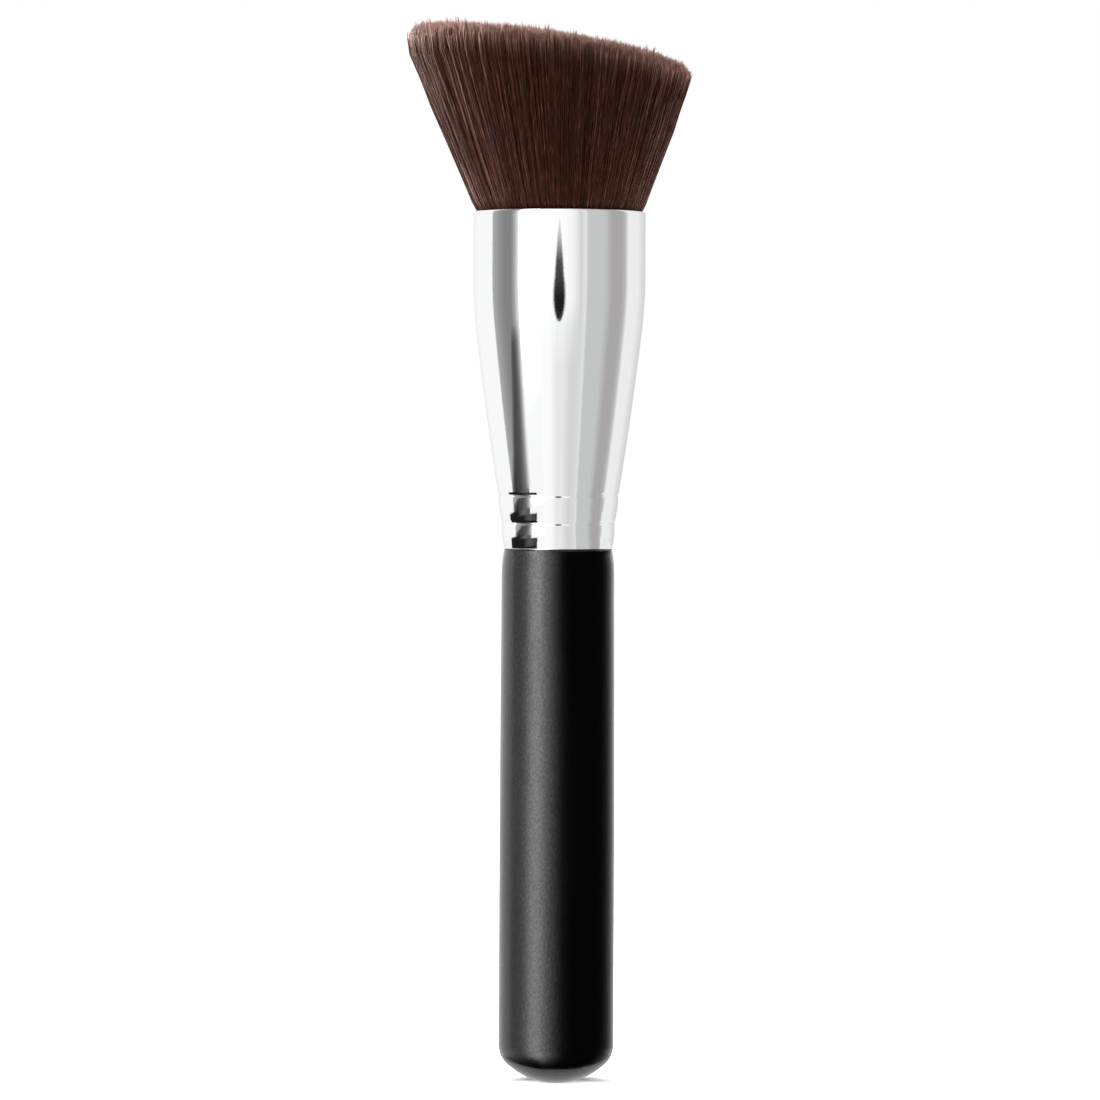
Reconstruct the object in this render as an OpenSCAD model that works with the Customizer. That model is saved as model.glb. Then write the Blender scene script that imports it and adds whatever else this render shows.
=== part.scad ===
// Foundation brush: short round handle, flared metal ferrule, dense tuft cut flat at a slant.
// Millimetres. +Z runs up the handle to the tuft, and the tuft's long side is towards -X.
// The origin is the middle of the small flat on the handle's end.

/* [Handle] */
// Diameter of the straight grip
handle_d = 16.2; // [15:0.1:18]
// Length from the handle's end to the ferrule's lower edge
handle_len = 75; // [60:0.2:100]
// Height up to which the grip is straight
straight_grip = 35; // [15:0.5:50]
// How much the grip tapers above that, on the radius
grip_taper = 0.17; // [0:0.01:0.5]
// Radius of the shallow dome on the handle's end
dome_r = 10.2; // [9.4:0.1:16]
// Radius of the round edge between the dome and the grip
edge_r = 3.5; // [1:0.1:5]
// Diameter of the flat in the middle of the dome
end_flat_d = 4; // [2:0.1:6]
// How far the neck draws in towards the ferrule, on the radius
neck_draw = 0.42; // [0.1:0.02:0.8]
// Length of the neck's curve
neck_len = 3.6; // [2:0.2:8]
// Thickness of the matt lacquer over the wood
lacquer_t = 0.15; // [0.08:0.01:0.3]
// Length of the tenon that stands in the ferrule
tenon_len = 16; // [10:0.5:22]

/* [Ferrule] */
// Length of the ferrule
ferrule_len = 47.2; // [42:0.1:60]
// Outer diameter at the mouth
mouth_d = 24.1; // [20:0.1:30]
// Wall thickness of the ferrule
wall = 0.5; // [0.3:0.05:0.8]
// Straight length below the mouth, down to where the taper starts
straight_len = 12.9; // [6:0.1:20]
// Radius of the soft bend between the straight and the taper
bend_r = 64; // [10:1:80]
// Height of the mouth's inward roll
lip_h = 0.9; // [0.3:0.05:1.5]
// Height of the lower bead above the ferrule's lower edge
lower_bead_h = 3.65; // [2:0.05:5]
// Height of the upper bead above the ferrule's lower edge
upper_bead_h = 7.5; // [6:0.1:10]
// How much the radius grows from the lower edge to the lower bead
lower_flare = 0.41; // [0.1:0.01:0.8]
// How much the radius grows from the lower bead to the upper one
upper_flare = 0.54; // [0.1:0.01:1]
// Width of a rolled bead
bead_w = 0.6; // [0.3:0.02:1]
// Depth of a rolled bead
bead_deep = 0.11; // [0.05:0.01:0.25]

/* [Tuft] */
// Length of the tuft above the mouth, at its middle
tuft_len = 24.2; // [18:0.2:36]
// How much longer the tuft is on its long side than at its middle
tuft_slant = 3.05; // [0:0.05:6]
// How much shorter the outermost fibres are than the cut's plane
rim_drop = 5; // [0:0.1:9]
// Angle that the outermost fibres fan out by
fan_angle = 21.9; // [5:0.1:32]
// Angle that the whole tuft leans towards its long side
lean_angle = 2.7; // [0:0.1:5]
// Rows of strands across the tuft: their square is the number of strands
strand_rows = 20; // [18:1:20]
// Length of the cup that holds the tuft's roots inside the ferrule
cup_len = 20; // [14:0.5:25]
// Wall thickness of the cup
cup_wall = 0.8; // [0.5:0.05:1.2]
// Thickness of the epoxy that the root ends are set in
epoxy_t = 3.5; // [2:0.1:6]
// Diameter of the thread that binds the roots
thread_d = 0.4; // [0.2:0.05:0.6]
// Turns of the binding thread
thread_turns = 6; // [3:1:10]

/* [Hidden] */
$fn = 96;

// Steps along a curve of the outline
arc_steps = 10;
// Steps along a bead's or a thread's small round
small_steps = 6;

// Clearances between pieces, on the radius
tenon_gap = 0.13;
cup_gap = 0.04;
tuft_gap = 0.05;

// Handle
handle_r = handle_d / 2;
shoulder_r = handle_r - grip_taper;
neck_r = shoulder_r - neck_draw;
neck_arc_r = (neck_len * neck_len + neck_draw * neck_draw) / (2 * neck_draw);
dome_z = sqrt(dome_r * dome_r - end_flat_d * end_flat_d / 4);
edge_c = [handle_r - edge_r,
          dome_z - sqrt(pow(dome_r - edge_r, 2) - pow(handle_r - edge_r, 2))];
edge_angle = atan2(edge_c[1] - dome_z, edge_c[0]);

// Ferrule
mouth_r = mouth_d / 2;
base_r = neck_r;
base_z = handle_len;
mouth_z = base_z + ferrule_len;
lower_bead_z = base_z + lower_bead_h;
upper_bead_z = base_z + upper_bead_h;
lower_bead_r = base_r + lower_flare;
upper_bead_r = lower_bead_r + upper_flare;
// How far the collar's two bands swell past a straight line
lower_swell = 0.13;
upper_swell = 0.07;
// The taper is a little fuller than a cone, so the bend at its top turns through less
bend_share = 0.865;
taper_top_z = mouth_z - straight_len;
bend_angle = bend_share * atan2(mouth_r - upper_bead_r, taper_top_z - upper_bead_z);
bend_c = [mouth_r - bend_r, taper_top_z + bend_r * tan(bend_angle / 2)];
lip_share = 0.9;
lip_w = wall * lip_share;

// Tenon, with turned grooves that the glue keys into
tenon_r = base_r - wall - tenon_gap;
tenon_chamfer = 0.5;
groove_w = 0.8;
groove_deep = 0.3;
groove_pitch = 2.2;
groove_first = 1.6;
groove_count = 3;
glue_top = 1.2;

// Cup and what it holds
cup_recess = 3;
cup_floor_t = 1;
cup_vent_r = 1.5;
cup_top_z = mouth_z - cup_recess;
cup_low_z = cup_top_z - cup_len;
epoxy_z = cup_low_z + cup_floor_t;
roots_z = epoxy_z + epoxy_t;
binding_rise = 1;
binding_z = roots_z + binding_rise;
binding_h = thread_turns * thread_d;

// Tuft
slice_t = 1;
root_r = mouth_r - wall - tuft_gap;
fan = tan(fan_angle);
lean = tan(lean_angle);
rim_power = 13;
// Where a strand's rings stand along it, and how much of its cell each ring fills
ring_shares = [0.62, 0.98];
fill_shares = [0.92, 0.84];
// How far a tip strays inside its cell, and up or down, as shares of the cell and of the length
stray_share = 0.5;
uneven_share = 0.012;
stray_seed = 7;

// Points along an arc from one angle to another
function arc(c, r, from, to, steps = arc_steps) =
    [for (i = [0:steps]) let (a = from + (to - from) * i / steps) c + r * [cos(a), sin(a)]];

// Points along a shallow arc between two points, which swells to the right of the way up, or to the left
function swell(p, q, rise, steps = small_steps) =
    let (d = q - p, side = [d[1], -d[0]] / norm(d))
    [for (i = [0:steps]) let (s = i / steps) p + d * s + side * rise * 4 * s * (1 - s)];

// The handle's outline from the middle of its end up to the neck, drawn in by inset
function handle_outline(inset) =
    let (r = dome_r - inset,
         flat_z = inset,
         flat_r = sqrt(r * r - pow(dome_z - flat_z, 2)),
         from = atan2(flat_z - dome_z, flat_r),
         neck_c = [shoulder_r - neck_arc_r, handle_len - neck_len])
    concat([[0, flat_z]],
           arc([0, dome_z], r, from, edge_angle),
           arc(edge_c, edge_r - inset, edge_angle, 0),
           [[handle_r - inset, straight_grip]],
           arc(neck_c, neck_arc_r - inset, 0, asin(neck_len / (neck_arc_r - inset))));

// The collar's radius where no bead or swell changes it
function collar_r(z) =
    lookup(z, [[base_z, base_r], [lower_bead_z, lower_bead_r], [upper_bead_z, upper_bead_r]]);

function on_collar(z) = [collar_r(z), z];

// A rolled bead in the wall, seen from outside as a shallow groove
function bead(z) = swell(on_collar(z - bead_w / 2), on_collar(z + bead_w / 2), -bead_deep);

// The taper's side, which meets the bend without a crease
function taper_side(p, q) =
    let (d = q - p)
    swell(p, q, norm(d) * tan(atan2(d[0], d[1]) - bend_angle) / 4, arc_steps);

// The ferrule's outer outline from its lower edge to the top of the bend
function shell_outline() =
    concat(swell([base_r, base_z], on_collar(lower_bead_z - bead_w / 2), lower_swell),
           bead(lower_bead_z),
           swell(on_collar(lower_bead_z + bead_w / 2), on_collar(upper_bead_z - bead_w / 2), upper_swell),
           bead(upper_bead_z),
           taper_side(on_collar(upper_bead_z + bead_w / 2),
                      bend_c + bend_r * [cos(bend_angle), -sin(bend_angle)]),
           arc(bend_c, bend_r, -bend_angle, 0));

// The same outline moved in by a distance on the radius, kept to heights between two limits
function shell_inside(inset, low, high) =
    let (points = [for (p = concat(shell_outline(), [[mouth_r, mouth_z]])) p - [inset, 0]],
         table = [for (p = points) [p[1], p[0]]])
    concat([[lookup(low, table), low]],
           [for (p = points) if (p[1] > low && p[1] < high) p],
           [[lookup(high, table), high]]);

// The tenon's side from the shoulder to the chamfer, with its turned grooves
function tenon_side() =
    concat([[tenon_r, base_z]],
           [for (g = [0:groove_count - 1])
                let (z = base_z + groove_first + g * groove_pitch)
                each [[tenon_r, z], [tenon_r - groove_deep, z],
                      [tenon_r - groove_deep, z + groove_w], [tenon_r, z + groove_w]]]);

function reversed(list) = [for (i = [len(list) - 1:-1:0]) list[i]];

// The outline of the cup's inside between two heights
function cup_inside(low, high) = shell_inside(wall + cup_gap + cup_wall, low, high);

module turned(points) {
    rotate_extrude() polygon(points);
}

module handle_core() {
    color("burlywood")
    turned(concat(handle_outline(lacquer_t),
                  tenon_side(),
                  [[tenon_r, base_z + tenon_len - tenon_chamfer],
                   [tenon_r - tenon_chamfer, base_z + tenon_len],
                   [0, base_z + tenon_len]]));
}

module handle_lacquer() {
    color([0.06, 0.06, 0.06])
    turned(concat(handle_outline(0), reversed(handle_outline(lacquer_t))));
}

// The glue fills the wedge between the tenon and the ferrule, a little past the upper bead
module tenon_glue() {
    top = upper_bead_z + glue_top;
    color("khaki")
    turned(concat(shell_inside(wall, base_z, top), [[tenon_r, top]], reversed(tenon_side())));
}

module ferrule() {
    color("silver")
    turned(concat(shell_outline(),
                  [for (p = arc([0, 0], 1, 0, 90, small_steps))
                       [mouth_r - lip_w * (1 - p[0]), mouth_z - lip_h * (1 - p[1])]],
                  [[mouth_r - wall, mouth_z]],
                  reversed([for (p = shell_outline()) p - [wall, 0]])));
}

module tuft_cup() {
    color("lightgrey")
    turned(concat([[cup_vent_r, cup_low_z]],
                  shell_inside(wall + cup_gap, cup_low_z, cup_top_z),
                  reversed(cup_inside(epoxy_z, cup_top_z)),
                  [[cup_vent_r, epoxy_z]]));
}

module potting_epoxy() {
    color("goldenrod")
    turned(concat([[0, epoxy_z]], cup_inside(epoxy_z, roots_z), [[0, roots_z]]));
}

// Radius of the roots at the bound waist
function waist_r() = cup_inside(binding_z, binding_z + binding_h)[0][0] - tuft_gap - thread_d;

module root_binding() {
    color("ivory")
    turned(concat([[waist_r(), binding_z]],
                  [for (k = [0:thread_turns - 1])
                       each arc([waist_r() + thread_d / 2, binding_z + (k + 1 / 2) * thread_d],
                                thread_d / 2, -90, 90, small_steps)],
                  [[waist_r(), binding_z + binding_h]]));
}

// The packed fibres inside the ferrule, from the epoxy to the slice that the strands stand on
module bristle_roots() {
    top = mouth_z - slice_t;
    color([0.2, 0.1, 0.07])
    turned(concat([[0, roots_z]],
                  [for (p = cup_inside(roots_z, binding_z)) p - [tuft_gap, 0]],
                  [[waist_r(), binding_z], [waist_r(), binding_z + binding_h]],
                  [for (p = cup_inside(binding_z + binding_h, cup_top_z)) p - [tuft_gap, 0]],
                  [[root_r, top], [0, top]]));
}

// A square of side 2 laid onto the unit disc, so that equal cells stay equal in area
function to_disc(p) =
    let (a = p[0], b = p[1])
    a == 0 && b == 0 ? [0, 0]
    : abs(a) > abs(b) ? a * [cos(45 * b / a), sin(45 * b / a)]
    : b * [sin(45 * a / b), cos(45 * a / b)];

// Length of the strand that starts at a place on the unit disc
function strand_len(d) = tuft_len - tuft_slant * d[0] - rim_drop * pow(norm(d), rim_power);

// Where a strand of that length is, a share of the way along it
function strand_at(d, length, share) =
    let (rise = length * share, out = root_r + fan * rise)
    [d[0] * out - lean * rise, d[1] * out, mouth_z + rise];

// The strands stand side by side on a thin slice of their packed roots, one in each cell of a grid
module bristles() {
    n = strand_rows;
    side = n + 1;
    per_strand = 4 * len(ring_shares) + 1;
    stray = rands(-1, 1, 3 * n * n, stray_seed);
    cells = [for (i = [0:n - 1]) for (j = [0:n - 1]) [i, j]];
    corners = [[0, 0], [1, 0], [1, 1], [0, 1]];
    edge = concat([for (i = [0:n - 1]) [i, 0]], [for (j = [0:n - 1]) [n, j]],
                  [for (i = [n:-1:1]) [i, n]], [for (j = [n:-1:1]) [0, j]]);

    floor_points = [for (i = [0:n]) for (j = [0:n])
        let (d = to_disc([2 * i / n - 1, 2 * j / n - 1])) [root_r * d[0], root_r * d[1], mouth_z]];
    under_points = [for (e = edge) floor_points[e[0] * side + e[1]] - [0, 0, slice_t]];
    strand_points = [for (k = [0:n * n - 1])
        let (c = cells[k],
             middle = [(2 * c[0] + 1) / n - 1, (2 * c[1] + 1) / n - 1],
             length = strand_len(to_disc(middle)) * (1 + uneven_share * stray[3 * k + 2]),
             tip = middle + stray_share / n * [stray[3 * k], stray[3 * k + 1]])
        each concat(
            [for (r = [0:len(ring_shares) - 1]) for (q = corners)
                strand_at(to_disc(middle + fill_shares[r] / n * (2 * q - [1, 1])), length, ring_shares[r])],
            [strand_at(to_disc(tip), length, 1)])];

    under = len(floor_points);
    first = under + len(under_points);
    function on_floor(p) = p[0] * side + p[1];
    function walls(low, high) = [for (e = [0:len(low) - 1]) let (f = (e + 1) % len(low))
        each [[low[e], high[e], high[f]], [low[e], high[f], low[f]]]];

    top_loop = [for (e = edge) on_floor(e)];
    under_loop = [for (e = [0:len(edge) - 1]) under + e];
    strand_faces = [for (k = [0:n * n - 1])
        let (foot = [for (q = corners) on_floor(cells[k] + q)],
             ring = [for (r = [0:len(ring_shares) - 1]) [for (q = [0:3]) first + k * per_strand + 4 * r + q]],
             tip = first + (k + 1) * per_strand - 1,
             last = ring[len(ring) - 1])
        each concat(walls(foot, ring[0]),
                    [for (r = [1:len(ring) - 1]) each walls(ring[r - 1], ring[r])],
                    [for (q = [0:3]) [last[q], tip, last[(q + 1) % 4]]])];

    color([0.25, 0.13, 0.09])
    polyhedron(points = concat(floor_points, under_points, strand_points),
               faces = concat(walls(under_loop, top_loop),
                              [for (e = [1:len(edge) - 2]) [under, under + e, under + e + 1]],
                              strand_faces),
               convexity = 10);
}

handle_core();
handle_lacquer();
tenon_glue();
ferrule();
tuft_cup();
potting_epoxy();
root_binding();
bristle_roots();
bristles();
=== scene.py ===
"""Looks of the foundation brush: a matt black handle, a bright flared ferrule and a fine brown tuft.

Lengths are metres. +Z runs up the handle, the camera stands on the -Y side, and the tuft's long side
is towards -X. Angles named azimuth are measured round the handle: 0 is towards the camera, and
positive ones turn towards +X.
"""
import math

import bpy
import numpy as np
from mathutils import Matrix, Vector, kdtree


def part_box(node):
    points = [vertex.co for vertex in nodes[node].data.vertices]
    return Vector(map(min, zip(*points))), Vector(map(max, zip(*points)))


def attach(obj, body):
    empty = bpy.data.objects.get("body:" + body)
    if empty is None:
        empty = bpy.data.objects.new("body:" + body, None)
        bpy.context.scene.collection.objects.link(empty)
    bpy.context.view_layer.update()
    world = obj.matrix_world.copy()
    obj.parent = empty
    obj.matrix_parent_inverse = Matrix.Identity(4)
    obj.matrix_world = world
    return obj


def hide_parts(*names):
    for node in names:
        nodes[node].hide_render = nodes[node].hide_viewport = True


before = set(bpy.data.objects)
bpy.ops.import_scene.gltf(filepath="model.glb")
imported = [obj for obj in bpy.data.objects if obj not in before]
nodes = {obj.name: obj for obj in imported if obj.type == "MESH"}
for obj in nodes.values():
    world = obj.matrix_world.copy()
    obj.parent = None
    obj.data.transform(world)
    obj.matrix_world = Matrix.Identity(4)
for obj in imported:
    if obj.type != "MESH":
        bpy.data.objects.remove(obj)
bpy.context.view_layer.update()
MM = 0.001

# Places that the frame gives
MOUTH_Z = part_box("ferrule")[1].z
ROOT_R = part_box("bristle_roots")[1].x

# The ferrule, as in the CAD source: heights above its lower edge, and radii there
LOWER_BEAD = (3.65 * MM, 7.92 * MM)
UPPER_BEAD = (7.5 * MM, 8.46 * MM)
BASE_R = 7.51 * MM
WALL = 0.5 * MM
STRAIGHT_LEN = 12.9 * MM
BEND_R = 64 * MM
BEND_SHARE = 0.865
LOWER_SWELL = 0.13 * MM
UPPER_SWELL = 0.07 * MM
BEAD_W = 0.6 * MM
BEAD_DEEP = 0.11 * MM
LIP_H = 0.9 * MM
LIP_W = 0.45 * MM
LIP_POWER = 2

# The tuft: how it fans out, how far it leans, and its slanted, slightly arched cut
FAN = math.tan(math.radians(21.3))
LEAN = math.tan(math.radians(2.0))
CUT_LEN = 24.0 * MM
CUT_SLANT = 3.05 * MM
CUT_ARCH = 0.65 * MM
# At the rim the cut rounds off and the tips curl in, both more on the long side. The rounding is the sum
# of a wide and a narrow part, each (share, power of the distance from the middle).
RIM_DROP, RIM_DROP_SLANT = 1.55 * MM, 0.25 * MM
RIM_WIDE, RIM_NARROW = (0.3, 6), (0.7, 20)
CURL, CURL_SLANT = 0.9 * MM, 0.6 * MM
CURL_POWER = 5

# The fine fibres: (share of the length, share of the thickness) of the points along each, the range of
# their thicknesses, and how far they stray from even places
FIBRES = 44000
FIBRE_SEED = 11
FIBRE_D = 0.13 * MM
FIBRE_STEPS = [(0.0, 1.0), (0.052, 1.0), (0.3, 1.0), (0.6, 0.97), (0.87, 0.93), (0.965, 0.85)]
FIBRE_THICKNESSES = (0.85, 1.15)
FIBRE_JITTER = 0.35
ROOT_SINK = 0.2 * MM
LIP_SPLAY = 0.24 * MM
LIP_SPLAY_RISE = 0.6 * MM
# How much their lengths differ, their tips wander sideways and their paths sway on the way
UNEVEN = 0.08 * MM
WANDER = 0.15 * MM
SWAY = 0.11 * MM
# Narrow locks draw together at their tips
TIP_LOCKS = 4600
TIP_LOCK_JITTER = 0.3
TIP_LOCK_PULL = (0.3, 0.75)
TIP_LOCK_BEND = 14
TIP_LOCK_DROP = 0.42 * MM
TIP_LOCK_RISE = 0.15 * MM
TIP_LIFT = 0.16 * MM
# Fibres that stand off at random places, beside those that are listed one by one
STRAYS = 14
# Tints across the fibres' map, and how much of a fibre's tint is its own and how much its lock's
TINTS = 64
OWN_TINT, LOCK_TINT = 0.85, 0.15
SECTORS = ("front", "front_right", "right", "back_right", "back", "back_left", "left", "front_left")


def new_mesh(name, points, faces, uvs=None):
    """A smooth mesh object from arrays of points and of faces with one number of corners."""
    points = np.asarray(points, np.float32)
    faces = np.asarray(faces, np.int32)
    mesh = bpy.data.meshes.new(name)
    mesh.vertices.add(len(points))
    mesh.vertices.foreach_set("co", points.ravel())
    mesh.loops.add(faces.size)
    mesh.loops.foreach_set("vertex_index", faces.ravel())
    mesh.polygons.add(len(faces))
    mesh.polygons.foreach_set("loop_start", np.arange(0, faces.size, faces.shape[1], dtype=np.int32))
    mesh.polygons.foreach_set("use_smooth", np.ones(len(faces), bool))
    if uvs is not None:
        layer = mesh.uv_layers.new(name="OFBake")
        layer.data.foreach_set("uv", np.asarray(uvs, np.float32).ravel())
    mesh.update(calc_edges=True)
    made = bpy.data.objects.new(name, mesh)
    bpy.context.scene.collection.objects.link(made)
    return made


def grid_faces(rows, columns, rows_close=False, columns_close=False):
    """Four-sided faces over a grid of points that are numbered row by row."""
    row = np.arange(rows if rows_close else rows - 1)[:, None]
    column = np.arange(columns if columns_close else columns - 1)[None]
    next_row, next_column = (row + 1) % rows, (column + 1) % columns
    corners = [(row, column), (row, next_column), (next_row, next_column), (next_row, column)]
    return np.stack([r * columns + c for r, c in corners], axis=-1).reshape(-1, 4)


# Materials


def node(tree, kind, inputs=None, **settings):
    """A shader node with its settings. Its inputs are values or other nodes' outputs."""
    made = tree.nodes.new("ShaderNode" + kind)
    for key, value in settings.items():
        setattr(made, key, value)
    for key, value in (inputs or {}).items():
        if isinstance(value, bpy.types.NodeSocket):
            tree.links.new(value, made.inputs[key])
        else:
            made.inputs[key].default_value = value
    return made


def ramp(tree, factor, stops):
    """A colour ramp whose stops are (place, grey or colour)."""
    made = node(tree, "ValToRGB", {"Fac": factor})
    elements = made.color_ramp.elements
    while len(elements) < len(stops):
        elements.new(1.0)
    for element, (place, colour) in zip(elements, stops):
        element.position = place
        element.color = (*colour, 1) if isinstance(colour, tuple) else (colour, colour, colour, 1)
    return made.outputs["Color"]


def mix_colours(tree, factor, first, second, blend_type="MIX"):
    """Two colours mixed by a factor."""
    inputs = {"Factor": factor, "A": first, "B": second}
    return node(tree, "Mix", inputs, data_type="RGBA", blend_type=blend_type).outputs["Result"]


def principled(name, **sockets):
    """A material, its node tree and its shader, on whose own sockets the plain values are set."""
    made = bpy.data.materials.new(name)
    made.use_nodes = True
    shader = made.node_tree.nodes["Principled BSDF"]
    for key, value in sockets.items():
        shader.inputs[key.replace("_", " ")].default_value = value
    return made, made.node_tree, shader


def place(tree, scale=(1, 1, 1)):
    """The place on the object in metres, times a scale for each axis."""
    coordinates = node(tree, "TexCoord").outputs["Object"]
    return node(tree, "Mapping", {"Vector": coordinates, "Scale": scale}).outputs["Vector"]


def noise(tree, vector, scale, detail=2.0, roughness=0.5):
    """A noise of so many grains to each unit of the vector."""
    inputs = {"Vector": vector, "Scale": scale, "Detail": detail, "Roughness": roughness}
    return node(tree, "TexNoise", inputs).outputs["Fac"]


def spread(tree, value, low, high):
    """A noise's middle range spread from one value to another."""
    inputs = {"Value": value, "From Min": 0.3, "From Max": 0.7, "To Min": low, "To Max": high}
    return node(tree, "MapRange", inputs).outputs["Result"]


def bump(tree, shader, height, depth):
    """A bump of the shader's surface, as deep as given."""
    inputs = {"Height": height, "Strength": 1.0, "Distance": depth}
    tree.links.new(node(tree, "Bump", inputs).outputs["Normal"], shader.inputs["Normal"])


def lacquer_material():
    """Soft-touch black lacquer: a fine matt grain that breaks up the highlight."""
    made, tree, shader = principled("soft_touch_black")
    here = place(tree)
    grain = noise(tree, here, 3400, 1.0, 0.6)
    patches = noise(tree, here, 260, 2.0)
    tree.links.new(spread(tree, patches, 0.2, 0.24), shader.inputs["Roughness"])
    tree.links.new(spread(tree, grain, 0.39, 0.61), shader.inputs["Specular IOR Level"])
    tree.links.new(ramp(tree, grain, [(0.3, 0.0008), (0.7, 0.0016)]), shader.inputs["Base Color"])
    bump(tree, shader, grain, 0.03 * MM)
    return made


def chrome_material():
    """Bright plating: clear reflections with a slight unevenness and hair-fine polishing marks."""
    made, tree, shader = principled("bright_plating", Metallic=1.0, Base_Color=(0.93, 0.935, 0.935, 1))
    fine = noise(tree, place(tree), 5000, 2.0)
    marks = noise(tree, place(tree, (1, 1, 30)), 500, 3.0, 0.7)
    tree.links.new(spread(tree, marks, 0.04, 0.08), shader.inputs["Roughness"])
    bump(tree, shader, fine, 0.002 * MM)
    return made


def wood_material():
    """Plain turned beech with fine lengthwise grain and short dark flecks."""
    made, tree, shader = principled("turned_beech", Roughness=0.6)
    grain = noise(tree, place(tree, (1, 1, 0.06)), 900, 4.0, 0.6)
    flecks = noise(tree, place(tree, (1, 1, 0.2)), 2600, 1.0)
    colours = ramp(tree, grain, [(0.3, (0.44, 0.27, 0.13)), (0.7, (0.66, 0.46, 0.26))])
    dark = ramp(tree, flecks, [(0.6, 1.0), (0.72, 0.6)])
    tree.links.new(mix_colours(tree, 1.0, colours, dark, "MULTIPLY"), shader.inputs["Base Color"])
    bump(tree, shader, grain, 0.02 * MM)
    return made


def cast_material(name, light, deep, roughness):
    """Cured adhesive or resin, a little cloudy."""
    made, tree, shader = principled(name, Specular_IOR_Level=0.5)
    cloud = noise(tree, place(tree), 420, 3.0)
    tree.links.new(ramp(tree, cloud, [(0.3, deep), (0.7, light)]), shader.inputs["Base Color"])
    tree.links.new(spread(tree, cloud, roughness, roughness + 0.15), shader.inputs["Roughness"])
    bump(tree, shader, cloud, 0.03 * MM)
    return made


def pressed_metal_material():
    """Plain pressed metal with faint drawing lines round it."""
    made, tree, shader = principled("pressed_aluminium", Metallic=1.0, Base_Color=(0.72, 0.73, 0.74, 1))
    lines = noise(tree, place(tree, (0.15, 0.15, 1)), 5200, 2.0)
    tree.links.new(spread(tree, lines, 0.28, 0.45), shader.inputs["Roughness"])
    bump(tree, shader, lines, 0.004 * MM)
    return made


def thread_material():
    """Twisted cotton thread."""
    made, tree, shader = principled("cotton_thread", Roughness=0.8, Sheen_Weight=0.3)
    twist = noise(tree, place(tree, (1, 1, 2.5)), 6500, 2.0)
    tree.links.new(ramp(tree, twist, [(0.3, (0.55, 0.5, 0.4)), (0.7, (0.8, 0.76, 0.65))]),
                   shader.inputs["Base Color"])
    bump(tree, shader, twist, 0.03 * MM)
    return made


def packed_fibre_material():
    """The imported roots: fine lengthwise streaks of the fibres' own brown."""
    made, tree, shader = principled("packed_fibres", Roughness=0.5)
    streaks = noise(tree, place(tree, (1, 1, 0.03)), 5200, 3.0, 0.6)
    tree.links.new(ramp(tree, streaks, [(0.35, (0.012, 0.005, 0.003)), (0.65, (0.075, 0.032, 0.022))]),
                   shader.inputs["Base Color"])
    bump(tree, shader, streaks, 0.06 * MM)
    return made


def fibre_material():
    """Synthetic fibre: each has one of many near tints across the map and lighter strokes, and a pale tip
    painted in for the light that the thin tips let through.
    """
    strokes_across, strokes_along = 1.7, 13
    made, tree, shader = principled("brown_fibre", Roughness=0.35, Specular_IOR_Level=0.15,
                                     Specular_Tint=(1.0, 0.62, 0.5, 1))
    uv = node(tree, "UVMap", uv_map="OFBake").outputs["UV"]
    split = node(tree, "SeparateXYZ", {"Vector": uv})
    body = ramp(tree, split.outputs["X"], [(0.0, (0.034, 0.0104, 0.0062)), (0.6, (0.049, 0.016, 0.0098)),
                                           (0.9, (0.083, 0.029, 0.0185)), (1.0, (0.145, 0.06, 0.044))])
    scale = (TINTS * strokes_across, strokes_along, 1)
    apart = node(tree, "Mapping", {"Vector": uv, "Scale": scale}).outputs["Vector"]
    strokes = ramp(tree, noise(tree, apart, 1.0, 1.0), [(0.38, 0.65), (0.55, 0.85), (0.7, 1.9)])
    streaked = mix_colours(tree, 1.0, body, strokes, "MULTIPLY")
    # Painted light: a lighter colour over the last share of each fibre stands in for light shining through
    # the thin tips.
    pale = ramp(tree, split.outputs["X"], [(0.0, (0.36, 0.175, 0.135)), (1.0, (0.6, 0.35, 0.29))])
    fade = ramp(tree, split.outputs["Y"], [(0.84, 0.0), (0.89, 0.05), (0.93, 0.16), (0.96, 0.4),
                                           (0.98, 0.7), (1.0, 0.95)])
    tree.links.new(mix_colours(tree, fade, streaked, pale), shader.inputs["Base Color"])
    return made


def dress(name, made):
    """Gives a CAD node its material."""
    slots = nodes[name].material_slots
    if not slots:
        nodes[name].data.materials.append(made)
    for each in slots:
        each.material = made


# The ferrule


def swell(low, high, rise, steps):
    """Points of a shallow arc between two (radius, height) points, as in the CAD source."""
    low, high = np.array(low), np.array(high)
    along = high - low
    side = np.array((along[1], -along[0])) / np.linalg.norm(along)
    share = np.linspace(0, 1, steps + 1)[:, None]
    return low + along * share + side * rise * 4 * share * (1 - share)


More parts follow.
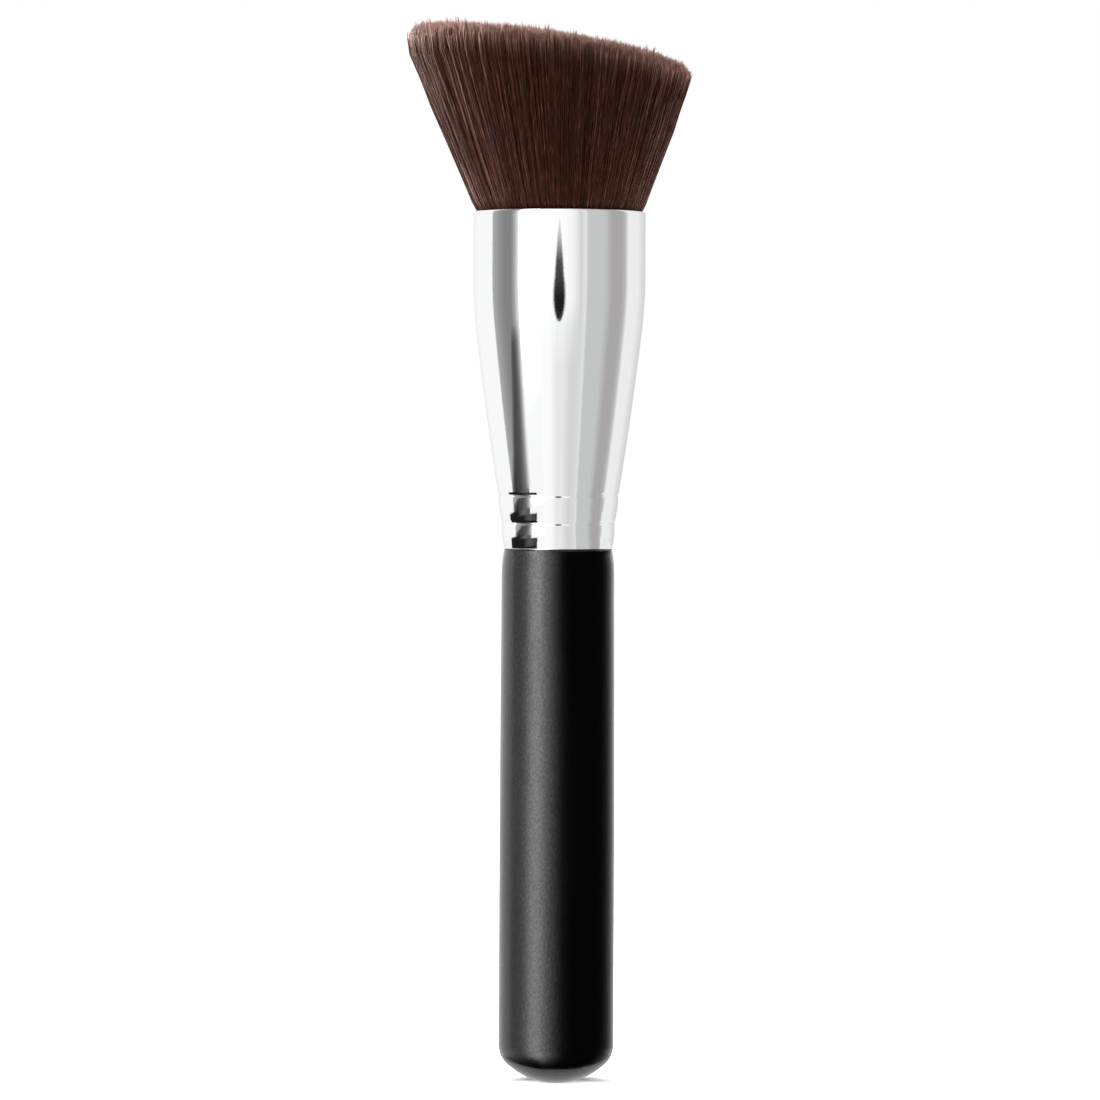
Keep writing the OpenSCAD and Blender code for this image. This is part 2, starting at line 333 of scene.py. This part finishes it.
def shell_outline():
    """The ferrule's outer outline, from its lower edge to where its mouth rolls in."""
    bead_steps, collar_steps, taper_steps, bend_points = 12, 40, 60, 30
    low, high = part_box("ferrule")
    base_z, mouth_z, mouth_r = low.z, high.z, high.x
    collar_z = [base_z, base_z + LOWER_BEAD[0], base_z + UPPER_BEAD[0]]
    collar_r = [BASE_R, LOWER_BEAD[1], UPPER_BEAD[1]]

    def on_collar(z):
        return float(np.interp(z, collar_z, collar_r)), z

    def bead(z):
        return swell(on_collar(z - BEAD_W / 2), on_collar(z + BEAD_W / 2), -BEAD_DEEP, bead_steps)

    taper_top_z = mouth_z - STRAIGHT_LEN
    bend = BEND_SHARE * math.atan2(mouth_r - collar_r[2], taper_top_z - collar_z[2])
    bend_z = taper_top_z + BEND_R * math.tan(bend / 2)
    taper_low = on_collar(collar_z[2] + BEAD_W / 2)
    taper_high = (mouth_r - BEND_R * (1 - math.cos(bend)), bend_z - BEND_R * math.sin(bend))
    run, climb = taper_high[0] - taper_low[0], taper_high[1] - taper_low[1]
    fullness = math.hypot(run, climb) * math.tan(math.atan2(run, climb) - bend) / 4
    angle = np.linspace(-bend, 0, bend_points)
    arc = np.column_stack((mouth_r - BEND_R * (1 - np.cos(angle)), bend_z + BEND_R * np.sin(angle)))
    return np.concatenate([
        swell((BASE_R, base_z), on_collar(collar_z[1] - BEAD_W / 2), LOWER_SWELL, collar_steps),
        bead(collar_z[1]),
        swell(on_collar(collar_z[1] + BEAD_W / 2), on_collar(collar_z[2] - BEAD_W / 2),
              UPPER_SWELL, collar_steps),
        bead(collar_z[2]),
        swell(taper_low, taper_high, fullness, taper_steps),
        arc,
        [(mouth_r, mouth_z - LIP_H)]])


def make_ferrule(made):
    """The ferrule with the CAD source's outline, turned finely enough for clear reflections."""
    fine_step, coarse_step, soften = 0.05 * MM, 0.3 * MM, 0.08 * MM
    above_beads = 1.5 * MM
    lip_points, inner_every, segments = 13, 8, 192
    outline = shell_outline()
    base_z, lip_z, mouth_r = outline[0, 1], outline[-1, 1], outline[-1, 0]
    mouth_z = lip_z + LIP_H
    collar_top = base_z + UPPER_BEAD[0] + above_beads
    z = np.concatenate((np.linspace(base_z, collar_top, round((collar_top - base_z) / fine_step) + 1),
                        np.arange(collar_top + coarse_step, lip_z - coarse_step / 2, coarse_step)))
    steps = np.arange(-3, 4) * fine_step
    weights = np.exp(-(steps / soften) ** 2 / 2)
    radius = sum(weight * np.interp(z + step, outline[:, 1], outline[:, 0])
                 for step, weight in zip(steps, weights)) / weights.sum()
    outer = np.column_stack((radius, z))

    turn = np.linspace(0, math.pi / 2, lip_points)
    lip = np.column_stack((mouth_r - LIP_W * (1 - np.cos(turn)) ** LIP_POWER,
                           mouth_z - LIP_H * (1 - np.sin(turn))))
    inner = outer[::-inner_every] - (WALL, 0)
    rim = [(mouth_r - WALL, mouth_z), (mouth_r - WALL, mouth_z - LIP_H)]
    ring = np.concatenate((outer, lip, rim, inner, [(outer[0, 0] - WALL, base_z)]))

    angle = 2 * math.pi * np.arange(segments) / segments
    points = np.stack((ring[:, :1] * np.cos(angle), ring[:, :1] * np.sin(angle),
                       np.broadcast_to(ring[:, 1:], (len(ring), segments))), axis=-1)
    piece = new_mesh("ferrule_shell", points.reshape(-1, 3), grid_faces(len(ring), segments, True, True))
    piece.data.materials.append(made)
    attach(piece, "root")
    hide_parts("ferrule")


# The tuft


def even_disc(count):
    """Evenly spread points on the unit disc, along a spiral."""
    step = np.arange(count) + 0.5
    radius = np.sqrt(step / count)
    turn = step * math.pi * (3 - math.sqrt(5))
    return np.column_stack((radius * np.cos(turn), radius * np.sin(turn)))


def nearest(centres, points):
    """For each point of the unit disc, the number of the centre that is nearest."""
    tree = kdtree.KDTree(len(centres))
    for i, (x, y) in enumerate(centres):
        tree.insert((x, y, 0), i)
    tree.balance()
    return np.array([tree.find((x, y, 0))[1] for x, y in points])


def fibre_length(start):
    """How far a fibre's tip is above the mouth, from the fibre's place on the unit disc."""
    across = start[:, 0]
    reach = np.minimum(np.linalg.norm(start, axis=1), 1)
    rim = RIM_WIDE[0] * reach ** RIM_WIDE[1] + RIM_NARROW[0] * reach ** RIM_NARROW[1]
    drop = (RIM_DROP - RIM_DROP_SLANT * across) * rim
    return CUT_LEN - CUT_SLANT * across - CUT_ARCH * across ** 2 - drop


def fibre_place(disc, rise):
    """Where a fibre is at a height above the mouth, from its place on the unit disc there."""
    up = np.maximum(rise, 0)
    out = ROOT_R + FAN * rise + LIP_SPLAY * (1 - np.exp(-up / LIP_SPLAY_RISE))
    return np.column_stack((disc[:, 0] * out - LEAN * rise, disc[:, 1] * out, MOUTH_Z + rise))


def fibre_paths(rng):
    """Each fibre's start on the unit disc, its bends from there, its length and its tint from 0 to 1."""
    top_r = ROOT_R + FAN * CUT_LEN
    start = even_disc(FIBRES) + rng.normal(0, FIBRE_JITTER / math.sqrt(FIBRES), (FIBRES, 2))
    start /= np.maximum(np.linalg.norm(start, axis=1), 1)[:, None]
    bend = rng.normal(0, WANDER / top_r, (FIBRES, 2))
    sway = rng.normal(0, SWAY / top_r, (FIBRES, 3, 2))
    tips = even_disc(TIP_LOCKS)
    tips += rng.normal(0, TIP_LOCK_JITTER / math.sqrt(TIP_LOCKS), (TIP_LOCKS, 2))
    tip_lock = nearest(tips, start)
    tip_pull = rng.uniform(*TIP_LOCK_PULL, TIP_LOCKS)[tip_lock]
    reach = np.linalg.norm(start, axis=1)[:, None]
    curl = (CURL - CURL_SLANT * start[:, :1]) / top_r * reach ** CURL_POWER
    tip_bend = (tips[tip_lock] - start) * tip_pull[:, None] - start * curl
    aside = np.linalg.norm(tips[tip_lock] - start, axis=1) * math.sqrt(TIP_LOCKS)
    rise = rng.exponential(TIP_LOCK_RISE, TIP_LOCKS)[tip_lock] + TIP_LIFT
    drop = TIP_LOCK_DROP * np.minimum(aside, 1) ** 2
    length = fibre_length(start) + rng.normal(0, UNEVEN, FIBRES) + rise - drop
    tint = OWN_TINT * rng.random(FIBRES) + LOCK_TINT * rng.random(TIP_LOCKS)[tip_lock]
    return start, bend, sway, tip_bend, length, tint


def stray_paths(rng):
    """A few fibres that stand off the sides.

    Each is (azimuth, extra reach at the tip in millimetres, share of the length).
    """
    chosen = [(-90, -0.55, 0.9), (90, -0.4, 1.056), (84, 0.05, 1.02), (-97, -0.5, 0.98), (38, -0.3, 1.0)]
    chosen += [(rng.uniform(-180, 180), rng.uniform(-0.6, -0.1), rng.uniform(0.85, 1.0))
               for _ in range(STRAYS)]
    azimuth, reach, share = np.array(chosen).T
    azimuth = np.radians(azimuth)
    start = np.column_stack((np.sin(azimuth), -np.cos(azimuth)))
    top_r = ROOT_R + FAN * CUT_LEN
    bend = start * reach[:, None] * MM / top_r
    length = fibre_length(start) * share
    straight = np.zeros((len(chosen), 3, 2))
    return start, bend, straight, bend * 0, length, rng.random(len(chosen))


def fibre_mesh(name, start, bend, sway, tip_bend, length, tint, rng):
    """Closed three-sided fibres that sway a little, thin out upwards and end in pointed tips."""
    count = len(length)
    side_margin, end_margin = 0.1, 0.005
    level = bend * 0
    sways = [level, level, sway[:, 0], sway[:, 1], sway[:, 2], sway[:, 2]]
    turn = rng.uniform(0, 2 * math.pi, count)
    thick = FIBRE_D / 2 * rng.uniform(*FIBRE_THICKNESSES, count)
    rings = []
    for (share, width), aside in zip(FIBRE_STEPS, sways):
        rise = length * share - (ROOT_SINK if share == 0 else 0)
        disc = start + bend * share ** 2 + aside + tip_bend * share ** TIP_LOCK_BEND
        middle = fibre_place(disc, rise)
        for side in range(3):
            angle = turn + side * 2 * math.pi / 3
            offset = np.column_stack((np.cos(angle), np.sin(angle), np.zeros(count)))
            rings.append(middle + offset * (thick * width)[:, None])
    rings.append(fibre_place(start + bend + sway[:, 2] + tip_bend, length))
    points = np.stack(rings, axis=1).reshape(-1, 3)
    per = len(rings)

    faces, corners = [], []
    shares = [share for share, _ in FIBRE_STEPS]
    for low in range(len(shares) - 1):
        for side in range(3):
            a, b = 3 * low + side, 3 * low + (side + 1) % 3
            left, right = side / 3, (side + 1) / 3
            faces += [(a, b, b + 3), (a, b + 3, a + 3)]
            corners += [((left, shares[low]), (right, shares[low]), (right, shares[low + 1])),
                        ((left, shares[low]), (right, shares[low + 1]), (left, shares[low + 1]))]
    last = 3 * (len(shares) - 1)
    for side in range(3):
        left, right = side / 3, (side + 1) / 3
        faces.append((last + side, last + (side + 1) % 3, per - 1))
        corners.append(((left, shares[-1]), (right, shares[-1]), ((left + right) / 2, 1.0)))
    faces.append((0, 2, 1))
    corners.append(((0.1, 0.0), (0.9, 0.0), (0.5, 0.01)))

    pattern = np.array(faces)
    all_faces = (pattern[None] + per * np.arange(count)[:, None, None]).reshape(-1, 3)
    column = np.floor(np.clip(tint, 0, 0.999) * TINTS)
    across = np.array(corners, float)
    uv = np.broadcast_to(across, (count, *across.shape)).copy()
    uv[..., 0] = (column[:, None, None] + side_margin + (1 - 2 * side_margin) * uv[..., 0]) / TINTS
    uv[..., 1] = end_margin + (1 - 2 * end_margin) * uv[..., 1]
    return new_mesh(name, points, all_faces, uv.reshape(-1, 2))


def make_tuft(made):
    """The visible tuft, as bundles of fibres side by side round it, and the collection that they are in."""
    tuft = bpy.data.collections.new("tuft")
    rng = np.random.default_rng(FIBRE_SEED)
    paths = fibre_paths(rng)
    strays = stray_paths(rng)
    every = [np.concatenate(pair) for pair in zip(paths, strays)]
    start = every[0]
    azimuth = np.degrees(np.arctan2(start[:, 0], -start[:, 1]))
    width = 360 / len(SECTORS)
    sector = np.floor((azimuth + width / 2) % 360 / width).astype(int)
    for index, side in enumerate(SECTORS):
        piece = fibre_mesh("bristles_" + side, *(values[sector == index] for values in every), rng)
        piece.data.materials.append(made)
        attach(piece, "root")
        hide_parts("bristles")
        tuft.objects.link(piece)
    return tuft


def make_binding(made):
    """The thread that binds the roots, as one wound helix with closed ends."""
    low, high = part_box("root_binding")
    thread_d = 0.4 * MM
    # A little thinner than its winding's step, so that neighbouring turns stay apart
    thread_r = thread_d / 2 * 0.98
    turns = round((high.z - low.z) / thread_d)
    around, sides = 48, 8
    wind_r = high.x - thread_d / 2
    t = np.linspace(0, turns - 1, (turns - 1) * around + 1)
    angle = 2 * math.pi * t
    centre_z = low.z + thread_d * (0.5 + t)
    sweep = 2 * math.pi * np.arange(sides) / sides
    out = wind_r + thread_r * np.cos(sweep)[None]
    points = np.stack((out * np.cos(angle)[:, None], out * np.sin(angle)[:, None],
                       centre_z[:, None] + thread_r * np.sin(sweep)[None]), axis=-1)
    count = len(t)
    faces = [(i * sides + s, i * sides + (s + 1) % sides, (i + 1) * sides + (s + 1) % sides)
             for i in range(count - 1) for s in range(sides)]
    faces += [(i * sides + s, (i + 1) * sides + (s + 1) % sides, (i + 1) * sides + s)
              for i in range(count - 1) for s in range(sides)]
    last = (count - 1) * sides
    faces += [(0, s + 1, s) for s in range(1, sides - 1)]
    faces += [(last, last + s, last + s + 1) for s in range(1, sides - 1)]
    piece = new_mesh("root_binding_thread", points.reshape(-1, 3), faces)
    piece.data.materials.append(made)
    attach(piece, "root")
    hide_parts("root_binding")


# The studio


def direction(azimuth):
    """The unit vector in the floor's plane at an azimuth in degrees."""
    a = math.radians(azimuth)
    return Vector((math.sin(a), -math.cos(a), 0))


def make_camera():
    """The camera at the photograph's place: level with the ferrule's lower part, a little to the left."""
    distance = 680 * MM
    height = 90.2 * MM
    aside = -1.14 * MM
    pitch, roll = 1.30, 0.25
    focal_px, image_px, sensor = 4845, 1100, 36
    data = bpy.data.cameras.new("camera")
    data.sensor_width = sensor
    data.lens = focal_px / image_px * sensor
    data.clip_start, data.clip_end = 0.01, 20
    made = bpy.data.objects.new("camera", data)
    tilt = Matrix.Rotation(math.radians(90 - pitch), 4, "X") @ Matrix.Rotation(math.radians(roll), 4, "Z")
    made.matrix_world = Matrix.Translation((aside, -distance, height)) @ tilt
    bpy.context.scene.collection.objects.link(made)
    bpy.context.scene.camera = made


def make_world():
    """White where the camera or a reflection sees it, and a soft even light on the object."""
    ambient = 0.25
    world = bpy.data.worlds.new("studio")
    bpy.context.scene.world = world
    world.use_nodes = True
    tree = world.node_tree
    tree.nodes.clear()
    path = node(tree, "LightPath")
    seen = node(tree, "Math", {0: path.outputs["Is Camera Ray"], 1: path.outputs["Is Glossy Ray"]},
                operation="MAXIMUM")
    seen = node(tree, "Math", {0: seen.outputs[0], 1: path.outputs["Is Transmission Ray"]},
                operation="MAXIMUM")
    strength = node(tree, "MapRange", {"Value": seen.outputs[0], "To Min": ambient, "To Max": 1.0})
    background = node(tree, "Background", {"Color": (1, 1, 1, 1), "Strength": strength.outputs["Result"]})
    output = node(tree, "OutputWorld")
    tree.links.new(background.outputs[0], output.inputs["Surface"])


def make_lamp(name, azimuth, distance, width, height, radiance, mirrored=True, diffuse=True, only_for=None):
    """A softbox that stands just off the floor, faces the axis and lights everything or one collection."""
    above_floor = 2 * MM
    data = bpy.data.lights.new(name, "AREA")
    data.shape = "RECTANGLE"
    data.size, data.size_y = width, height
    data.energy = radiance * math.pi * width * height
    made = bpy.data.objects.new(name, data)
    centre = direction(azimuth) * distance + Vector((0, 0, height / 2 + above_floor))
    made.location = centre
    made.rotation_euler = (Vector((0, 0, centre.z)) - centre).to_track_quat("-Z", "Y").to_euler()
    made.visible_camera = False
    made.visible_glossy = mirrored
    made.visible_diffuse = diffuse
    made.light_linking.receiver_collection = only_for
    bpy.context.scene.collection.objects.link(made)


def card_material(name, low, high, across, along, streaks, gain):
    """A card's glow, from one row of stops across its low edge to another across its top."""
    made = bpy.data.materials.new(name)
    made.use_nodes = True
    made.cycles.emission_sampling = "NONE"
    tree = made.node_tree
    tree.nodes.clear()
    uv = node(tree, "UVMap", uv_map="OFBake").outputs["UV"]
    split = node(tree, "SeparateXYZ", {"Vector": uv})
    colour = mix_colours(tree, split.outputs["Y"], ramp(tree, split.outputs["X"], low),
                         ramp(tree, split.outputs["X"], high))
    glow = node(tree, "Emission", {"Color": colour, "Strength": gain})
    if streaks:
        stretched = node(tree, "Mapping", {"Vector": uv, "Scale": (40, 0.6, 1)}).outputs["Vector"]
        level = spread(tree, noise(tree, stretched, 1.0, 2.0), 1 - streaks, 1 + streaks)
        tree.links.new(level, glow.inputs["Strength"])
    solid = node(tree, "Math", {0: ramp(tree, split.outputs["X"], across),
                                1: ramp(tree, split.outputs["Y"], along)}, operation="MULTIPLY")
    whole = node(tree, "MixShader", {0: solid.outputs[0], 1: node(tree, "BsdfTransparent").outputs[0],
                                     2: glow.outputs[0]})
    output = node(tree, "OutputMaterial")
    tree.links.new(whole.outputs[0], output.inputs["Surface"])
    return made


SOLID = ((0, 1), (1, 1))


def make_card(name, rows, low, high=None, across=SOLID, along=SOLID, streaks=0.0, gain=1.0):
    """A glowing card of the studio, which only reflections see.

    Each row is (height, radius, first azimuth, last azimuth, share), in millimetres and degrees. The glow
    goes by the stops of low where the share is 0 and of high where it is 1. The stops of across and along
    are how solid the card is, streaks is how unevenly it glows, and gain is how strongly.
    """
    columns = 25
    share = np.linspace(0, 1, columns)
    points, uvs = [], []
    for height, radius, first, last, mix in rows:
        angle = np.radians(first + (last - first) * share)
        points.append(np.column_stack((radius * np.sin(angle), -radius * np.cos(angle),
                                       angle * 0 + height)))
        uvs.append(np.column_stack((share, share * 0 + mix)))
    faces = grid_faces(len(rows), columns)
    made = new_mesh(name, np.concatenate(points) * MM, faces, np.concatenate(uvs)[faces.ravel()])
    made.data.materials.append(card_material(name, low, high or low, across, along, streaks, gain))
    made.visible_camera = made.visible_diffuse = made.visible_shadow = False
    made.visible_transmission = made.visible_volume_scatter = False


# The cards that the ferrule mirrors stand this far from the axis, from the shelf's height up. These are
# millimetres, as in the cards' rows.
CARD_R = 60
SHELF_Z, TAPER_Z, TURN_Z, TOP_Z = 68, 88, 106, 220
SHELF_R = 11
# The card that the handle mirrors stands nearer, and reaches this azimuth on both sides. Its stops are
# shares of this gain.
LOW_R = 30
HANDLE_REACH = 165
HANDLE_GAIN = 6
# What the dark cards glow, and stops that fade a card in from its low edge
BLACK = 0.012
FADE_IN = [(0, 0), (1, 1)]


def wall_rows(first, last):
    """Rows of an upright card, whose glow changes between what the taper and what the mouth mirrors."""
    return [(z, CARD_R, first, last, mix)
            for z, mix in ((SHELF_Z, 0), (TAPER_Z, 0), (TURN_Z, 1), (TOP_Z, 1))]


def flat_rows(first, last, inner, outer, height=SHELF_Z):
    """Rows of a level card."""
    return [(height, inner, first, last, 0), (height, outer, first, last, 0)]


def neck_rows(first, last):
    """Rows of a card close round the handle's top, whose share rises over its lowest few millimetres."""
    return [(z, radius, first, last, mix)
            for z, radius, mix in ((60.5, 9.2, 0), (66.3, 9.2, 1), (74.3, 9.0, 1), (74.85, 7.8, 1))]


def plain(level):
    """Stops of one even level."""
    return [(0, level), (1, level)]


def handle_stops(share):
    """What the handle mirrors from left to right, at a share of its full strength.

    It is a white wall, a softbox at the front left, a dark room and the wall again.
    """
    stops = [(-HANDLE_REACH, 1.3), (-96, 1.3), (-88, 0.75), (-72, 0.95), (-60, 1.5), (-50, 3.6), (-43, 5.2),
             (-32, 5.2), (-23, 2.9), (-15, 1.8), (-8, 1.0), (0, 0.45), (8, 0.08), (20, 0.004), (91, 0.004),
             (105, 0.12), (124, 0.55), (145, 1.3), (HANDLE_REACH, 1.3)]
    return [((azimuth + HANDLE_REACH) / (2 * HANDLE_REACH), level / HANDLE_GAIN * share)
            for azimuth, level in stops]


def make_cards():
    """The cards, gaps and shelves that the bright ferrule and the matt handle mirror."""
    gap_dark = 0.02
    cool, warm = (0.583, 0.594, 0.588), (0.42, 0.405, 0.405)
    left = [(0, 0.44), (0.3, 0.3), (0.5, 0.24), (0.72, 0.24), (0.85, 0.42), (1, 1.0)]
    front = [(0, 1.04), (0.3, 1.02), (0.52, 0.85), (0.68, 0.86), (1, 0.68)]
    front_end = [(0, 0.68), (0.6, 0.73), (0.85, 0.8), (1, 0.55)]
    right = [(0, cool), (0.38, cool), (0.6, warm), (0.85, warm), (1, (0.52, 0.52, 0.52))]
    make_card("left_card", wall_rows(-92.5, -50), left)
    make_card("left_card_end", wall_rows(-165, -92.5), [(0, 0.84), (0.25, 0.93), (0.45, 1.0), (1, 1.0)])
    make_card("front_card", wall_rows(-26, 18), front, [(0, 1.1), (0.62, 1.1), (0.8, 1.01), (1, 0.93)],
              streaks=0.03)
    make_card("front_card_end", wall_rows(18, 35), front_end,
              [(0, 0.93), (0.5, 0.68), (0.75, 0.8), (0.87, 0.8), (1, 0.57)])
    make_card("right_card", wall_rows(35, 91), right)
    make_card("right_card_end", wall_rows(91, 165),
              [(0, 0.55), (0.08, 0.9), (0.4, 0.88), (0.57, 0.77), (0.7, 0.72), (1, 0.6)])
    make_card("back_card", wall_rows(165, 200), [(0, 0.5), (0.4, 0.3), (1, 0.5)])
    make_card("left_shelf", flat_rows(-108, -40, 24, 44),
              [(0, BLACK), (0.55, BLACK), (0.75, 0.1), (1, 0.03)])
    make_card("left_shelf_outer", flat_rows(-108, -54, 44, CARD_R),
              [(0, BLACK), (0.45, BLACK), (0.75, 0.14), (1, 0.1)])
    make_card("left_shelf_inner", flat_rows(-120, -40, SHELF_R, 24), plain(BLACK))
    make_card("left_shelf_end", flat_rows(-165, -108, SHELF_R, CARD_R), plain(0.95))
    make_card("gap_shelf_outer", flat_rows(-54, -26, 44, CARD_R), plain(1.0))
    make_card("gap_shelf", flat_rows(-40, -26, SHELF_R, 44), plain(1.0))
    make_card("front_shelf", flat_rows(-26, 18, SHELF_R, CARD_R), front)
    make_card("front_shelf_end", flat_rows(18, 35, SHELF_R, CARD_R), front_end)
    make_card("right_shelf", flat_rows(35, 91, SHELF_R, CARD_R), right)
    make_card("right_shelf_end", flat_rows(91, 165, SHELF_R, CARD_R), plain(0.88))
    make_card("shelf_underside", flat_rows(-165, 165, SHELF_R, CARD_R, SHELF_Z - 0.5), plain(BLACK))

    gap_r = CARD_R - 1
    make_card("left_gap", [(SHELF_Z, gap_r, -97, -54, 0), (71.5, gap_r, -95, -54, 0.1),
                           (77, gap_r, -82, -53, 0.3), (85.5, gap_r, -73, -51, 0.6),
                           (95, gap_r, -67, -51.5, 0.9), (98.5, gap_r, -65, -53, 1)],
              plain(gap_dark), across=[(0, 0), (0.12, 0.7), (0.27, 1), (0.6, 0.8), (1, 0)],
              along=[(0, 1), (0.1, 0.95), (0.3, 0.8), (0.9, 0.75), (1, 0)])

    # What the handle mirrors, up to its neck and down to the floor round its end
    make_card("handle_card", [(0, LOW_R, -HANDLE_REACH, HANDLE_REACH, 0),
                              (SHELF_Z - 0.6, LOW_R, -HANDLE_REACH, HANDLE_REACH, 1)],
              handle_stops(0.88), handle_stops(0.99), gain=HANDLE_GAIN)
    make_card("neck_card", neck_rows(-109, 109), handle_stops(0.98), along=FADE_IN, gain=HANDLE_GAIN)
    make_card("neck_card_back", neck_rows(109, 251), plain(1.3), along=FADE_IN)
    ring_z = 0.3
    ring = [(6.4, 14, 0), (7.5, 50, 0), (9, 75, 0.05), (12, 105, 0.4), (16, 140, 1), (LOW_R, 140, 1)]
    make_card("floor_ring", [(ring_z, radius, -reach, reach, mix) for radius, reach, mix in ring],
              plain(0), handle_stops(1), gain=HANDLE_GAIN)


def make_camera_card():
    """The dark drop that the photographer's camera and its stand leave in the ferrule's middle."""
    top, widest, low = 124, 106.7, 98.2
    half_width = 8.6
    rows = []
    for t in np.linspace(0.02, 1, 24):
        rows.append((top - (top - widest) * t, half_width * math.sin(math.pi / 2 * t) ** 1.05, t))
    for t in np.linspace(0, 0.98, 12)[1:]:
        rows.append((widest - (widest - low) * t, half_width * math.cos(math.pi / 2 * t) ** 0.5, 1))
    place_r = CARD_R - 2
    rows = [(z, place_r, -math.degrees(w / place_r), math.degrees(w / place_r), mix) for z, w, mix in rows]
    make_card("camera_card", rows, plain(BLACK), across=[(0, 0), (0.16, 1), (0.84, 1), (1, 0)],
              along=[(0, 0), (0.2, 0.5), (0.42, 0.95), (1, 1)])


def make_floor():
    """A plain pale floor that clips to white, with a shade painted into its colour and glow beside and
    behind the handle's end.
    """
    half = 3.0
    drop = 0.01 * MM
    shade_reach = 9 * MM
    corners = [(-half, -half, -drop), (half, -half, -drop), (half, half, -drop), (-half, half, -drop)]
    made = new_mesh("floor", corners, [(0, 1, 2, 3)])
    paper = bpy.data.materials.new("floor")
    paper.use_nodes = True
    tree = paper.node_tree
    tree.nodes.clear()
    path = node(tree, "LightPath")
    # Painted shade: the floor's colour and glow darken where an occlusion test finds the handle close, and
    # only behind the axis.
    closeness = node(tree, "AmbientOcclusion", {"Distance": shade_reach}, samples=16).outputs["AO"]
    depth = node(tree, "SeparateXYZ", {"Vector": node(tree, "TexCoord").outputs["Object"]}).outputs["Y"]
    behind = node(tree, "MapRange", {"Value": depth, "From Min": -3.5 * MM, "From Max": 3 * MM,
                                     "To Min": 1.0, "To Max": 0.0}).outputs["Result"]
    open_floor = node(tree, "Math", {0: closeness, 1: behind}, operation="MAXIMUM").outputs[0]
    matt = node(tree, "BsdfDiffuse", {"Color": ramp(tree, open_floor, [(0.1, 0.0), (0.9, 0.9)])})
    glow = node(tree, "Emission", {"Strength": node(tree, "Math", {0: open_floor, 1: 0.95},
                                                    operation="MULTIPLY").outputs[0]})
    lit = node(tree, "AddShader", {0: matt.outputs[0], 1: glow.outputs[0]})
    to_camera = node(tree, "MixShader", {0: path.outputs["Is Camera Ray"], 1: matt.outputs[0],
                                         2: lit.outputs[0]})
    mirrored = node(tree, "Math", {0: path.outputs["Is Glossy Ray"],
                                   1: path.outputs["Is Transmission Ray"]}, operation="MAXIMUM")
    white = node(tree, "Emission", {"Strength": 1.0})
    whole = node(tree, "MixShader", {0: mirrored.outputs[0], 1: to_camera.outputs[0], 2: white.outputs[0]})
    output = node(tree, "OutputMaterial")
    tree.links.new(whole.outputs[0], output.inputs["Surface"])
    made.data.materials.append(paper)


dress("handle_lacquer", lacquer_material())
dress("handle_core", wood_material())
dress("tenon_glue", cast_material("cured_glue", (0.75, 0.66, 0.4), (0.6, 0.5, 0.27), 0.3))
dress("tuft_cup", pressed_metal_material())
dress("potting_epoxy", cast_material("amber_epoxy", (0.62, 0.42, 0.16), (0.45, 0.27, 0.09), 0.12))
dress("bristle_roots", packed_fibre_material())
make_ferrule(chrome_material())
tuft = make_tuft(fibre_material())
make_binding(thread_material())

make_camera()
make_world()
make_lamp("softbox", -43, 450 * MM, 240 * MM, 600 * MM, 5.4, diffuse=False)
make_lamp("front_light", -43, 450 * MM, 240 * MM, 900 * MM, 2.6, mirrored=False)
make_lamp("backdrop_light", 180, 600 * MM, 1200 * MM, 1200 * MM, 1.0)
make_lamp("left_side_light", -105, 500 * MM, 500 * MM, 600 * MM, 12.5, mirrored=False)
make_lamp("left_rim_light", -125, 500 * MM, 500 * MM, 600 * MM, 58.0, diffuse=False, only_for=tuft)
make_lamp("right_side_light", 110, 500 * MM, 500 * MM, 600 * MM, 5.4, mirrored=False)
make_lamp("right_rim_light", 125, 500 * MM, 500 * MM, 600 * MM, 8.5, diffuse=False, only_for=tuft)
make_cards()
make_camera_card()
make_floor()
bpy.context.scene.view_settings.view_transform = "Standard"
